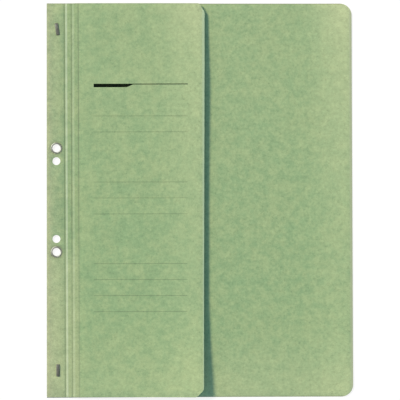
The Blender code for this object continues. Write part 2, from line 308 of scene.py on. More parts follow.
@dataclass(frozen=True)
class CardFinish:
    """Mottled green manila card that fades towards its outer edges and wears along its scores, with
    painted highlight and painted shade at the scores and painted shade on the spine.

    The fades, darkenings, tans, pale rims and the worn marks with their painted highlight and shade are
    shares of a blend, and the waves are counted in a metre.
    Hue shares belong to the clouds, patches and mottle, tone shares to the patches, mottle and
    grain, and relief shares to the mottle, grain and fibres. The upper and strip fade spans are
    shares of the half height, and bands and ends are distances from a score.
    """

    name: str
    left: float
    right: float
    half_height: float
    scores: tuple[float, ...] = ()
    score_wear: tuple[float, ...] = ()
    ink: float = 1.0
    cool: Colour = srgb(143, 173, 128)
    warm: Colour = srgb(157, 178, 131)
    aged: Colour = srgb(186, 197, 151)
    cream: Colour = srgb(206, 221, 201)
    tan: Colour = srgb(178, 178, 146)
    soil: Colour = srgb(128, 130, 102)
    core: Colour = srgb(156, 160, 122)
    rub: Colour = srgb(186, 209, 174)
    right_fade: float = 0.17
    right_pale: float = 0.035
    upper_fade: float = 0.3
    corner_fade: float = 0.3
    foot_fade: float = 0.35
    strip_fade: float = 0.38
    top_fade: float = 0.12
    upper_fade_span: Span = (-0.4, 0.8)
    strip_fade_span: Span = (-0.33, -0.19)
    strip_fade_end: Span = (-1.5 * MM, 1 * MM)
    fade_width: float = 46 * MM
    foot_width: float = 60 * MM
    spine_shade: float = 0.09
    spine_lead: float = 7 * MM
    spine_soft: float = 1 * MM
    # Painted highlight, together with rubbing, on the gentle side of each score, which faces the key light.
    score_rub_band: Band = (0.1 * MM, 0.6 * MM, 1.4 * MM, 2.2 * MM)
    score_rub_least: float = 0.35
    score_rub_breakup: float = 0.9
    # Painted shade, together with soiling, on the steep side of each score, which faces away from the key light.
    score_soil_band: Band = (-1.0 * MM, -0.5 * MM, -0.3 * MM, 0.1 * MM)
    score_soil: float = 0.42
    faded_soil: float = 0.2
    eyelet: Optional[Point2] = None
    # A darker ring of card round each eyelet.
    eyelet_soil: float = 0.3
    eyelet_halo: Span = (4.5 * MM, 6.8 * MM)
    # Darker bands along the ends and the left edge of the sheet.
    end_soil: float = 0.6
    left_soil: float = 0.3
    soil_width: float = 1.0 * MM
    # A paler rim along the right edge of the sheet.
    right_rub: float = 0.0
    right_tan: float = 0.55
    rub_width: float = 2.4 * MM
    rub_full: float = 0.4
    strip_tan: float = 0.22
    strip_tan_end: Span = (-9 * MM, 1 * MM)
    left_tan: float = 0.3
    left_tan_width: float = 6 * MM
    strip_hue_rough: float = 0.56
    strip_tone_rough: float = 0.35
    core_share: float = 0.7
    cloud_waves: float = 26.0
    patch_waves: float = 150.0
    mottle_waves: float = 430.0
    fleck_waves: float = 700.0
    grain_waves: float = 1300.0
    hue_shares: tuple[float, ...] = (0.8, 1.5, 0.5)
    tone_shares: tuple[float, ...] = (0.22, 0.36, 0.38)
    fleck_span: Span = (0.68, 0.78)
    fleck_tone: float = 0.12
    fibre_lines: tuple[tuple[float, float, float], ...] = (
        (0.5, 1.9 * MM, 0.16 * MM), (-0.9, 1.5 * MM, 0.13 * MM),
    )
    fibre_span: Span = (0.60, 0.72)
    fibre_tone: float = 0.05
    roughness: float = 0.78
    grain_rough: float = 0.16
    specular: float = 0.2
    relief: float = 0.05 * MM
    relief_shares: tuple[float, ...] = (0.4, 0.4, 0.25)

    def faded_strip(self, up: Wire) -> Wire:
        """Share of the strip's lower part, which is more faded."""
        return 1 - up.ramp(*(self.half_height * share for share in self.strip_fade_span))

    def fade(self, across: Wire, up: Wire) -> Wire:
        """Share of fading at a place on the sheet.

        Args:
            across: X of the place.
            up: Y of the place.

        Returns:
            0 in the middle of the sheet, rising towards its outer edges.
        """
        half = self.half_height
        right = across.ramp(self.right - self.fade_width, self.right)
        upper = up.ramp(*(half * share for share in self.upper_fade_span))
        top = up.ramp(half - self.fade_width, half)
        foot = 1 - up.ramp(-half, self.foot_width - half)
        share = right * (self.right_fade + upper * self.upper_fade + top * self.corner_fade)
        share = share + foot * self.foot_fade + upper * self.top_fade
        if self.scores:
            strip = 1 - across.ramp(*(self.scores[-1] + end for end in self.strip_fade_end))
            share = share + strip * self.faded_strip(up) * self.strip_fade
        return share

    def worn_scores(self, graph: Graph, colour: Wire, across: Wire, up: Wire, breakup: Wire) -> Wire:
        """Paint shade on the spine, a worn, painted highlight on the gentle side of each score and
        soiling with painted shade on its steep side.

        Args:
            graph: Graph to add to.
            colour: Colour of the card before these marks.
            across: X of the place.
            up: Y of the place.
            breakup: Noise that breaks the rubbing and painted highlight up.

        Returns:
            The colour with its worn marks and painted light.
        """
        if not self.scores:
            return colour
        first, last, soft = self.scores[0], self.scores[-1], self.spine_soft
        # Painted shade darkens the spine panels, which tilt towards the key light, and fades out over the strip.
        spine = across.band(first - self.spine_lead, first + soft, last - soft, last + soft)
        colour = graph.tone(colour, 1 - spine * self.spine_shade)
        broken = self.score_rub_least + breakup * self.score_rub_breakup
        soil_and_shade_share = self.score_soil - self.faded_strip(up) * (self.score_soil - self.faded_soil)
        for score, wear_and_highlight in zip(self.scores, self.score_wear):
            # Painted highlight with rubbing on the gentle side of the score.
            rubbed_and_highlit = across.band(*(score + place for place in self.score_rub_band))
            colour = graph.mix(colour, self.cream, rubbed_and_highlit * broken * wear_and_highlight)
            # Painted shade with soiling on the steep side of the score.
            soiled_and_shaded = across.band(*(score + place for place in self.score_soil_band))
            colour = graph.mix(colour, self.soil, soiled_and_shaded * soil_and_shade_share)
        return colour

    def worn_eyelets(self, graph: Graph, colour: Wire, across: Wire, up: Wire) -> Wire:
        """Darken the card in a ring round the two eyelets.

        Args:
            graph: Graph to add to.
            colour: Colour of the card before this mark.
            across: X of the place.
            up: Y of the place.

        Returns:
            The darkened colour.
        """
        if not self.eyelet:
            return colour
        aside, above = across - self.eyelet[0], abs(up) - self.eyelet[1]
        away = graph.math("SQRT", aside * aside + above * above)
        return graph.mix(colour, self.soil, (1 - away.ramp(*self.eyelet_halo)) * self.eyelet_soil)

    def worn_edges(self, graph: Graph, colour: Wire, across: Wire, up: Wire) -> Wire:
        """Darken the ends and the left edge of the sheet, and give its right edge a pale rim and a tan.

        Args:
            graph: Graph to add to.
            colour: Colour of the card before these marks.
            across: X of the place.
            up: Y of the place.

        Returns:
            The marked colour.
        """
        ends = abs(up).ramp(self.half_height - self.soil_width, self.half_height)
        left = 1 - across.ramp(self.left, self.left + self.soil_width)
        right = across.ramp(self.right - self.rub_width, self.right - self.rub_full * self.rub_width)
        colour = graph.mix(colour, self.rub, right * self.right_rub)
        colour = graph.mix(colour, self.tan, right * self.right_tan)
        return graph.mix(colour, self.soil, ends * self.end_soil + left * self.left_soil)

    def material(self) -> Material:
        """Build the material.

        Returns:
            The finished card.
        """
        material, graph = new_material(self.name)
        where = graph.attribute(PLACE, "Vector")
        across = graph.coordinate(where, Axis.X)
        up = graph.coordinate(where, Axis.Y)
        clouds = graph.noise(where, self.cloud_waves, detail=1.0)
        patches = graph.noise(where, self.patch_waves)
        mottle = graph.noise(where, self.mottle_waves)
        grain = graph.noise(where, self.grain_waves)
        flecks = graph.noise(where, self.fleck_waves, detail=0.0).ramp(*self.fleck_span)
        fibres = sum(graph.streaks(where, *line).ramp(*self.fibre_span) for line in self.fibre_lines)
        hue = weighed((clouds - 0.5, patches - 0.5, mottle - 0.5), self.hue_shares)
        tone = weighed((patches - 0.5, mottle - 0.5, grain - 0.5), self.tone_shares)
        tanned: Number = 0.0
        if self.scores:
            strip = 1 - across.ramp(*(self.scores[0] + end for end in self.strip_tan_end))
            edge = 1 - across.ramp(self.left, self.left + self.left_tan_width)
            tanned = strip * self.strip_tan + edge * self.left_tan
            hue = hue * (1 + strip * self.strip_hue_rough)
            tone = tone * (1 + strip * self.strip_tone_rough)
        colour = graph.mix(self.cool, self.warm, (hue + 0.5).ramp(0.0, 1.0))
        colour = graph.mix(colour, self.aged, self.fade(across, up))
        colour = graph.mix(colour, self.tan, tanned)
        pale = across.ramp(self.right - self.fade_width, self.right) * self.right_pale
        tone = 1 + tone + pale + fibres * self.fibre_tone - flecks * self.fleck_tone
        colour = graph.tone(colour, tone * self.ink)
        colour = self.worn_scores(graph, colour, across, up, patches)
        colour = self.worn_eyelets(graph, colour, across, up)
        colour = self.worn_edges(graph, colour, across, up)
        cut = graph.attribute(CUT_EDGE, "Fac")
        height = weighed((mottle, grain, fibres), self.relief_shares)
        graph.surface({
            "Base Color": graph.mix(colour, self.core, cut * self.core_share),
            "Roughness": self.roughness + grain * self.grain_rough,
            "Specular IOR Level": self.specular,
            "Normal": graph.bump(height, self.relief),
        })
        return material


@dataclass(frozen=True)
class MetalFinish:
    """Plated sheet metal with fine drawing lines, tarnish clouds and rubbed scratches.

    Tarnish shares belong to the clouds and spots, rough shares to the lines, clouds and
    scratches, and relief shares to the lines, spots and scratches.
    """

    name: str
    clean: Colour
    tarnish: Colour
    roughness: float
    line_turn: float = 0.0
    metallic: float = 1.0
    line_length: float = 6 * MM
    line_width: float = 0.08 * MM
    line_tone: float = 0.16
    scratch_turn: float = 0.6
    scratch_length: float = 3 * MM
    scratch_width: float = 0.03 * MM
    scratch_span: Span = (0.66, 0.72)
    cloud_waves: float = 420.0
    cloud_span: Span = (0.35, 0.75)
    spot_waves: float = 2600.0
    spot_span: Span = (0.62, 0.74)
    tarnish_shares: tuple[float, ...] = (0.6, 0.3)
    rough_shares: tuple[float, ...] = (0.14, 0.12, 0.15)
    relief: float = 0.008 * MM
    relief_shares: tuple[float, ...] = (0.7, 0.2, 0.3)

    def material(self) -> Material:
        """Build the material.

        Returns:
            The finished metal.
        """
        material, graph = new_material(self.name)
        where = graph.object_place()
        lines = graph.streaks(where, self.line_turn, self.line_length, self.line_width)
        turn = self.line_turn + self.scratch_turn
        scratches = graph.streaks(where, turn, self.scratch_length, self.scratch_width)
        scratches = scratches.ramp(*self.scratch_span)
        clouds = graph.noise(where, self.cloud_waves, detail=3.0).ramp(*self.cloud_span)
        spots = graph.noise(where, self.spot_waves, detail=1.0).ramp(*self.spot_span)
        colour = graph.mix(self.clean, self.tarnish, weighed((clouds, spots), self.tarnish_shares))
        height = weighed((lines, spots, scratches), self.relief_shares)
        graph.surface({
            "Base Color": graph.tone(colour, 1 + (lines - 0.5) * self.line_tone),
            "Metallic": self.metallic,
            "Roughness": self.roughness + weighed((lines - 0.5, clouds, scratches), self.rough_shares),
            "Normal": graph.bump(height, self.relief),
        })
        return material


@dataclass(frozen=True)
class InkFinish:
    """Black printing ink that the card's grain shows through.

    Thin shares belong to the starved places and the grain.
    """

    name: str
    solid: Colour = srgb(10, 18, 8)
    thin: Colour = srgb(30, 42, 24)
    grain_waves: float = 1500.0
    starved_waves: float = 700.0
    starved_span: Span = (0.5, 0.8)
    thin_shares: tuple[float, ...] = (0.6, 0.2)
    roughness: float = 0.55
    grain_rough: float = 0.25
    specular: float = 0.08
    relief: float = 0.03 * MM

    def material(self) -> Material:
        """Build the material.

        Returns:
            The finished ink.
        """
        material, graph = new_material(self.name)
        where = graph.object_place()
        grain = graph.noise(where, self.grain_waves)
        starved = graph.noise(where, self.starved_waves).ramp(*self.starved_span)
        graph.surface({
            "Base Color": graph.mix(self.solid, self.thin, weighed((starved, grain), self.thin_shares)),
            "Roughness": self.roughness + grain * self.grain_rough,
            "Specular IOR Level": self.specular,
            "Normal": graph.bump(grain, self.relief),
        })
        return material


@dataclass(frozen=True)
class FloorFinish:
    """A white studio table that stays pale in the folder's shade."""

    name: str
    white: Colour = (0.18, 0.21, 0.26, 1.0)
    shade: Colour = (0.17, 0.20, 0.25, 1.0)
    cloud_waves: float = 6.0
    roughness: float = 0.9
    specular: float = 0.1
    glow: Colour = (0.85, 0.82, 0.775, 1.0)

    def material(self) -> Material:
        """Build the material.

        Returns:
            The finished floor.
        """
        material, graph = new_material(self.name)
        clouds = graph.noise(graph.object_place(), self.cloud_waves)
        graph.surface({
            "Base Color": graph.mix(self.white, self.shade, clouds),
            "Roughness": self.roughness,
            "Specular IOR Level": self.specular,
            "Emission Color": self.glow,
            "Emission Strength": 1.0,
        })
        return material


def outline_face(corners: Iterable[Sequence[float]]) -> BMesh:
    """A bmesh of one flat face.

    Args:
        corners: Corner places in order.

    Returns:
        The new bmesh.
    """
    mesh = bmesh.new()
    mesh.faces.new([mesh.verts.new(corner) for corner in corners])
    return mesh


def thicken(mesh: BMesh, sweep: Vector) -> None:
    """Make a sheet of faces a closed solid.

    Args:
        mesh: Bmesh that holds only the sheet.
        sweep: Way from the sheet to its other side.
    """
    grown = bmesh.ops.extrude_face_region(mesh, geom=mesh.faces[:])["geom"]
    bmesh.ops.translate(mesh, verts=[item for item in grown if isinstance(item, BMVert)], vec=sweep)
    bmesh.ops.recalc_face_normals(mesh, faces=mesh.faces[:])


def prism(outline: Sequence[Sequence[float]], sweep: Vector) -> BMesh:
    """A closed solid swept from a flat outline.

    Args:
        outline: Corner places in order.
        sweep: Way to the far end.

    Returns:
        The new bmesh.
    """
    mesh = outline_face(outline)
    thicken(mesh, sweep)
    return mesh


def soften(mesh: BMesh, edges: Iterable[BMEdge], width: float, segments: int = 2) -> None:
    """Round edges.

    Args:
        mesh: Bmesh to change.
        edges: Edges to round.
        width: Width of the rounding.
        segments: Faces across the rounding.
    """
    bmesh.ops.bevel(
        mesh, geom=list(edges), offset=width, segments=segments, profile=0.5, affect="EDGES",
        material=-1, clamp_overlap=True,
    )


def sharp_edges(mesh: BMesh) -> list[BMEdge]:
    """The edges where two faces meet at a crease."""
    return [edge for edge in mesh.edges if edge.is_manifold and edge.calc_face_angle() > CREASE]


def edges_where(mesh: BMesh, along: Axis, test: Callable[[Vector], bool]) -> list[BMEdge]:
    """Pick edges by their direction and place.

    Args:
        mesh: Bmesh to search.
        along: Axis that the edges run along.
        test: Says whether a corner's place belongs.

    Returns:
        The sharp edges along that axis whose corners both belong.
    """
    found = []
    for edge in sharp_edges(mesh):
        one, two = (vert.co for vert in edge.verts)
        if abs((one - two)[along.value]) > TOUCH and test(one) and test(two):
            found.append(edge)
    return found


def slice_grid(mesh: BMesh, columns: Iterable[float], rows: Iterable[float]) -> None:
    """Cut a mesh along X and Y places.

    Args:
        mesh: Bmesh to cut.
        columns: X places of the cuts.
        rows: Y places of the cuts.
    """
    cuts = [((x, 0, 0), (1, 0, 0)) for x in columns] + [((0, y, 0), (0, 1, 0)) for y in rows]
    for place, normal in cuts:
        parts = mesh.verts[:] + mesh.edges[:] + mesh.faces[:]
        bmesh.ops.bisect_plane(mesh, geom=parts, dist=TOUCH, plane_co=place, plane_no=normal)


def cut_corners(mesh: BMesh, verts: Sequence[BMVert], size: float, steps: int) -> None:
    """Cut or round corners of a flat outline.

    Args:
        mesh: Flat outline to change.
        verts: Corners to cut.
        size: Distance from the corner where the cut starts.
        steps: Edges across the cut, 1 for a straight one.
    """
    bmesh.ops.bevel(
        mesh, geom=list(verts), offset=size, segments=steps, profile=0.5, affect="VERTICES",
        material=-1, clamp_overlap=False,
    )


@dataclass(frozen=True)
class Corner:
    """A corner of a flat blank, rounded, or cut straight with eased ends."""

    width: float
    height: float
    ease: float = 0.0
    steps: int = 10

    def cut(self, mesh: BMesh, place: Vector) -> None:
        """Shape the corner of a blank.

        Args:
            mesh: Flat outline to change.
            place: Place of the sharp corner.
        """
        sharp = min(mesh.verts, key=lambda vert: (vert.co - place).length)
        cut_corners(mesh, [sharp], self.height, 1 if self.ease else self.steps)
        arc = [vert for vert in mesh.verts if (vert.co - place).length < self.height + TOUCH]
        stretch = (self.width / self.height, 1, 1)
        bmesh.ops.scale(mesh, vec=stretch, space=Matrix.Translation(-place), verts=arc)
        if self.ease:
            cut_corners(mesh, arc, self.ease, self.steps // 2)


def round_blank(low: Point2, high: Point2, corner: Callable[[Vector], Optional[Corner]]) -> BMesh:
    """A flat rectangle at Z 0 with some of its corners shaped.

    Args:
        low: Lowest X and Y.
        high: Highest X and Y.
        corner: Gives the shape of the corner at a place, or None for a sharp one.

    Returns:
        The new bmesh.
    """
    places = [(*low, 0), (high[0], low[1], 0), (*high, 0), (low[0], high[1], 0)]
    mesh = outline_face(places)
    for place in map(Vector, places):
        shape = corner(place)
        if shape:
            shape.cut(mesh, place)
    return mesh


def punch(mesh: BMesh, hole: Hole, steps: int = 40) -> None:
    """Make a round hole in the one face of a flat sheet that holds its centre.

    Args:
        mesh: Flat sheet to change.
        hole: X, Y and radius of the hole.
        steps: Corners of the hole.
    """
    x, y, radius = hole
    centre = Vector((x, y, 0))
    cell = min(mesh.faces, key=lambda face: (face.calc_center_median() - centre).length)
    cell_edges = list(cell.edges)
    bmesh.ops.delete(mesh, geom=[cell], context="FACES_ONLY")
    place = Matrix.Translation(centre)
    ring = bmesh.ops.create_circle(mesh, segments=steps, radius=radius, matrix=place)
    ring_edges = {edge for vert in ring["verts"] for edge in vert.link_edges}
    bmesh.ops.bridge_loops(mesh, edges=cell_edges + list(ring_edges))


def spread(low: float, high: float, step: float) -> list[float]:
    """Even places strictly between two ends, about one step apart."""
    count = max(1, round((high - low) / step))
    return [low + (high - low) * index / count for index in range(1, count)]


def mark_cuts(mesh: BMesh) -> None:
    """Store which faces are cut edges, for the card's finish to read.

    Args:
        mesh: Thick flat sheet.
    """
    cut = mesh.faces.layers.float.new(CUT_EDGE)
    for face in mesh.faces:
        face[cut] = float(abs(face.normal.z) < LEVEL)


def mark_places(mesh: BMesh) -> None:
    """Store each corner's place at rest, for the card's finish to read.

    Args:
        mesh: Sheet in its closed shape.
    """
    place = mesh.verts.layers.float_vector.new(PLACE)
    for vert in mesh.verts:
        vert[place] = vert.co


def as_piece(name: str, mesh: BMesh, material: Material, sharp: float = CRISP) -> Object:
    """Turn a bmesh into a scene object at the origin.

    Args:
        name: Name of the piece.
        mesh: Bmesh, which is freed.
        material: Finish of the piece.
        sharp: Angle above which edges stay crisp.

    Returns:
        The new object.
    """
    data = bpy.data.meshes.new(name)
    mesh.to_mesh(data)
    mesh.free()
    data.materials.append(material)
    data.shade_smooth()
    data.set_sharp_from_angle(angle=sharp)
    piece = bpy.data.objects.new(name, data)
    bpy.context.scene.collection.objects.link(piece)
    return piece


def settle(piece: Object, body: str, node: str) -> Object:
    """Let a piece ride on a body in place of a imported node.

    Args:
        piece: New piece.
        body: Body that it moves with.
        node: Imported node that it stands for.

    Returns:
        The same piece.
    """
    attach(piece, body)
    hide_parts(node)
    return piece


@dataclass(frozen=True)
class FolderPlan:
    """Places that the pieces share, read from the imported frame."""

    left: float
    right: float
    half_height: float
    cover_edge: float
    cover_top: float
    thickness: float
    hinges: Mapping[str, Vector]
    holes: Mapping[str, Vector]
    plain_radius: float = 3.05 * MM
    barrel_radius: float = 3.4 * MM

    @classmethod
    def from_frame(cls) -> "FolderPlan":
        """Read the places.

        Returns:
            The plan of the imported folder.
        """
        strip_low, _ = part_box("strip_front_layer")
        back_low, back_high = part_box("back_cover")
        _, cover_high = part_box("front_half_cover")
        hinges = [row for row in frame["joints"] if row["type"] == "hinge"]
        openings = frame["record"]["physics"]["openings"]
        boxes = {row["name"]: map(Vector, row["box_m"]) for row in openings}
        return cls(
            left=strip_low.x,
            right=back_high.x,
            half_height=back_high.y,
            cover_edge=cover_high.x,
            cover_top=cover_high.z,
            thickness=back_high.z - back_low.z,
            hinges={row["name"]: Vector(row["pos_m"]) for row in hinges},
            holes={name: (low + high) / 2 for name, (low, high) in boxes.items()},
        )

    @property
    def scores(self) -> tuple[float, ...]:
        """X of the three score lines, from the strip inwards."""
        names = ("front_strip_fold", "front_spine_fold", "half_cover_fold")
        return tuple(self.hinges[name].x for name in names)

    def strip_holes(self) -> list[Hole]:
        """List the filing holes that both strip layers share.

        Returns:
            X, Y and radius of each hole, from the top down.
        """
        radii = {"plain_hole": self.plain_radius, "eyelet_bore": self.barrel_radius}
        rows = []
        for end in End:
            for kind, radius in radii.items():
                centre = self.holes[f"{end.label}_{kind}"]
                rows.append((centre.x, centre.y, radius))
        return sorted(rows, key=lambda row: -row[1])


@dataclass
class ScoredSheet:
    """A card sheet in three pieces that meet in the middle of its two spine panels."""

    plan: FolderPlan
    material: Material
    layer: Layer
    cover_body: str
    cover_node: str
    upper_corner: Corner = Corner(9.2 * MM, 9.2 * MM)
    lower_corner: Corner = Corner(9.2 * MM, 9.2 * MM)
    upper_trim: float = 0.0
    lower_trim: float = 0.0
    edge_round: float = 0.06 * MM
    groove_depths: tuple[float, ...] = (0.28 * MM, 0.24 * MM, 0.22 * MM)
    groove_steep: float = 0.9 * MM
    groove_gentles: tuple[float, ...] = (1.7 * MM, 2.2 * MM, 4.0 * MM)
    steep_steps: tuple[float, ...] = (1.0, 0.75, 0.5, 0.25)
    gentle_steps: tuple[float, ...] = (0.0, 0.17, 0.33, 0.5, 0.67, 0.83, 1.0)
    fold_half: float = 1.2 * MM
    cover_cell: float = 5 * MM
    spine_cell: float = 20 * MM
    strip_cell: float = 15 * MM
    hole_cell: float = 4.6 * MM

    @property
    def outer_edge(self) -> float:
        """X of the sheet's right edge."""
        return self.plan.right if self.layer is Layer.BACK else self.plan.cover_edge

    @property
    def top(self) -> float:
        """Y of the sheet's upper edge."""
        return self.plan.half_height - self.upper_trim

    @property
    def foot(self) -> float:
        """Y of the sheet's lower edge."""
        return self.lower_trim - self.plan.half_height

    def corner(self, place: Vector) -> Optional[Corner]:
        """Shape of the sheet at a corner of one of its pieces, or None where it is sharp."""
        shape = self.upper_corner if place.y > 0 else self.lower_corner
        return shape if abs(place.x - self.outer_edge) < TOUCH else None

    def outer_height(self, x: float, y: float) -> float:
        """Height of the outer face before the scores are pressed."""
        raise NotImplementedError

    def draw_in(self, x: float, y: float) -> float:
        """Sideways shift of the sheet at a place."""
        return 0.0

    def slant(self, x: float, y: float) -> float:
        """Sideways shift of the pressed scores, with their worn marks and painted light."""
        return 0.0

    def groove(self, x: float) -> float:
        """Depth of the pressed scores.

        Args:
            x: X of the place.

        Returns:
            Depth below the outer face.
        """
        total = 0.0
        for score, depth, gentle in zip(self.plan.scores, self.groove_depths, self.groove_gentles):
            side = self.groove_steep if x < score else gentle
            total += depth * smooth(1 - abs(x - score) / side)
        return total

    def groove_columns(self, index: int) -> list[float]:
        """X places that a pressed score needs to hold its shape.

        Args:
            index: Number of the score, from the strip inwards.

        Returns:
            Places from the score's steep side to its gentle side.
        """
        score, gentle = self.plan.scores[index], self.groove_gentles[index]
        steep = [score - self.groove_steep * share for share in self.steep_steps]
        return steep + [score + gentle * share for share in self.gentle_steps]

    def rim_edges(self, mesh: BMesh, seams: Sequence[float]) -> list[BMEdge]:
        """The edges along the sheet's cut outline.

        Args:
            mesh: Thick flat sheet.
            seams: X places where the sheet goes on in another piece.

        Returns:
            Edges between a face and a cut wall that is no seam.
        """
        found = []
        for edge in sharp_edges(mesh):
            walls = [face for face in edge.link_faces if abs(face.normal.z) < LEVEL]
            places = [wall.calc_center_median().x for wall in walls]
            if len(walls) == 1 and all(abs(places[0] - seam) > TOUCH for seam in seams):
                found.append(edge)
        return found

    def drape(self, mesh: BMesh) -> None:
        """Bend the flat thick sheet to its closed shape.

        Args:
            mesh: Sheet whose outer face is at Z 0.
        """
        for vert in mesh.verts:
            x, y, _ = vert.co
            inward = abs(vert.co.z)
            pressed = inward + (1 - inward / self.plan.thickness) * self.groove(x)
            height = self.outer_height(x, y) - self.layer.value * pressed
            vert.co = (x + self.draw_in(x, y), y, height)

    def make(
        self,
        name: str,
        ends: Span,
        columns: Sequence[float],
        rows: Sequence[float],
        holes: Sequence[Hole] = (),
    ) -> Object:
        """Build one piece of the sheet.

        Args:
            name: Name of the piece.
            ends: Lowest and highest X.
            columns: X places to cut the grid at.
            rows: Y places to cut the grid at.
            holes: Holes to punch, each inside one cell of the grid.

        Returns:
            The finished piece.
        """
        left, right = ends
        mesh = round_blank((left, self.foot), (right, self.top), self.corner)
        slice_grid(mesh, columns, rows)
        for hole in holes:
            punch(mesh, hole)
        thicken(mesh, Vector((0, 0, -self.layer.value * self.plan.thickness)))
        seams = [x for x in ends if x not in (self.plan.left, self.outer_edge)]
        soften(mesh, self.rim_edges(mesh, seams), self.edge_round)
        mark_cuts(mesh)
        self.drape(mesh)
        mark_places(mesh)
        for vert in mesh.verts:
            vert.co.x += self.slant(vert.co.x, vert.co.y)
        piece = as_piece(name, mesh, self.material)
        return piece

    def strip_grid(self, holes: Sequence[Hole]) -> tuple[list[float], list[float]]:
        """Places to cut the strip at, so that each hole has a cell of its own.

        Args:
            holes: Filing holes from the top down.

        Returns:
            X places and Y places.
        """
        heights = [y for _, y, _ in holes]
        shared = [(one + two) / 2 for one, two in zip(heights[::2], heights[1::2])]
        inner = [y - math.copysign(self.hole_cell, y) for y in heights[1:3]]
        outer = [y + math.copysign(self.hole_cell, y) for y in heights[::3]]
        rows = shared + inner + outer
        for gap in ((inner[1], inner[0]), (outer[0], self.top), (self.foot, outer[1])):
            rows = rows + spread(*gap, self.strip_cell)
        hole_x = holes[0][0]
        return [hole_x - self.hole_cell, hole_x + self.hole_cell] + self.groove_columns(0), rows

    def hang(self, pieces: Sequence[Object]) -> None:
        """Bake the strip, spine and cover pieces in place and hide the imported nodes that they stand for.

        Args:
            pieces: The three pieces, from the strip inwards.
        """
        side = self.layer.label
        bodies = ("strip", f"{side}_spine_outer", f"{side}_spine_inner", self.cover_body)
        nodes = ((f"strip_{side}_layer",), bodies[1:3], (self.cover_node,))
        for index, piece in enumerate(pieces):
            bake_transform(piece)
            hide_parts(*nodes[index])

    def build(self) -> list[Object]:
        """Build the sheet.

        Returns:
            Its strip, spine and cover pieces.
        """
        one, two, three = self.plan.scores
        edges = (self.plan.left, (one + two) / 2, (two + three) / 2, self.outer_edge)
        side = self.layer.label
        holes = self.plan.strip_holes()
        columns, rows = self.strip_grid(holes)
        strip = self.make(f"{side}_strip_card", edges[:2], columns, rows, holes)
        rows = spread(self.foot, self.top, self.spine_cell)
        spine = self.make(f"{side}_spine_card", edges[1:3], self.groove_columns(1), rows)
        columns = self.groove_columns(2)
        columns = columns + spread(columns[-1], self.outer_edge, self.cover_cell)
        rows = spread(self.foot, self.top, self.cover_cell)
        cover = self.make(f"{side}_cover_card", edges[2:], columns, rows)
        self.hang((strip, spine, cover))
        return [strip, spine, cover]


@dataclass
class FrontSheet(ScoredSheet):
    """The front sheet: strip, two spine panels and the curling half cover."""

    layer: Layer = Layer.FRONT
    cover_body: str = "half_cover"
    cover_node: str = "front_half_cover"
    upper_corner: Corner = Corner(4.1 * MM, 6.8 * MM, 1.2 * MM)
    lower_corner: Corner = Corner(5.6 * MM, 5.6 * MM, 1.2 * MM)
    upper_trim: float = 0.1 * MM
    lower_trim: float = 0.4 * MM
    score_shift: float = -0.2 * MM
    score_lean: float = -0.00275
    lean_lead: float = 1.5 * MM
    lean_tail: float = 8 * MM
    edge_rise: float = 0.31 * MM
    foot_curl: float = 5.55 * MM
    foot_curl_start: float = -68 * MM
    foot_curl_power: float = 1.57
    upper_wave: float = 0.52 * MM
    upper_wave_place: float = 79 * MM
    upper_wave_half: float = 34 * MM
    top_dip: float = 1.45 * MM
    top_dip_start: float = 99 * MM
    middle_dip: float = 0.14 * MM
    middle_dip_half: float = 23 * MM
    bow_power: float = 2.2
    edge_lean: float = 0.7 * MM
    edge_set_back: float = 0.45 * MM
    edge_power: float = 2

    def reach(self, x: float) -> float:
        """Share of the half cover's width at an X place, 0 up to the last score."""
        start = self.plan.scores[2]
        return max(0.0, (x - start) / (self.plan.cover_edge - start))

    def edge_curl(self, y: float) -> float:
        """Lift of the half cover's free edge above its plane.

        Args:
            y: Y of the place.

        Returns:
            The lift, below zero where the edge sinks.
        """
        half = self.plan.half_height
        low = held((self.foot_curl_start - y) / (half + self.foot_curl_start))
        high = held((y - self.top_dip_start) / (half - self.top_dip_start))
        middle = math.exp(-((y / self.middle_dip_half) ** 2))
        wave = math.exp(-(((y - self.upper_wave_place) / self.upper_wave_half) ** 2))
        lift = self.edge_rise + self.foot_curl * low**self.foot_curl_power + self.upper_wave * wave
        return lift - self.top_dip * high - self.middle_dip * middle

    def outer_height(self, x: float, y: float) -> float:
        """Height of the outer face before the scores are pressed.

        Args:
            x: X of the place.
            y: Y of the place.

        Returns:
            The height on the strip, the slanted spine or the bowed half cover.
        """
        strip, cover = self.plan.hinges["front_strip_fold"], self.plan.hinges["half_cover_fold"]
        climb = held((x - strip.x) / (cover.x - strip.x))
        slope = self.plan.cover_top - cover.z
        lift = slope * self.reach(x) + self.edge_curl(y) * self.reach(x) ** self.bow_power
        return strip.z + (cover.z - strip.z) * climb + lift

    def draw_in(self, x: float, y: float) -> float:
        """Sideways shift of the half cover's free edge, which leans in towards its foot."""
        lean = self.edge_lean * y / self.plan.half_height - self.edge_set_back
        return lean * self.reach(x) ** self.edge_power

    def slant(self, x: float, y: float) -> float:
        """Sideways shift of the pressed scores, which are a little out of true.

        Args:
            x: X of the place.
            y: Y of the place.

        Returns:
            The shift, which dies away on both sides of the scores.
        """
        start = self.plan.scores[0] - self.groove_steep
        end = self.plan.scores[2] + self.groove_gentles[2]
        share = held(1 - (start - x) / self.lean_lead) * held(1 - (x - end) / self.lean_tail)
        return share * (self.score_shift + self.score_lean * y)


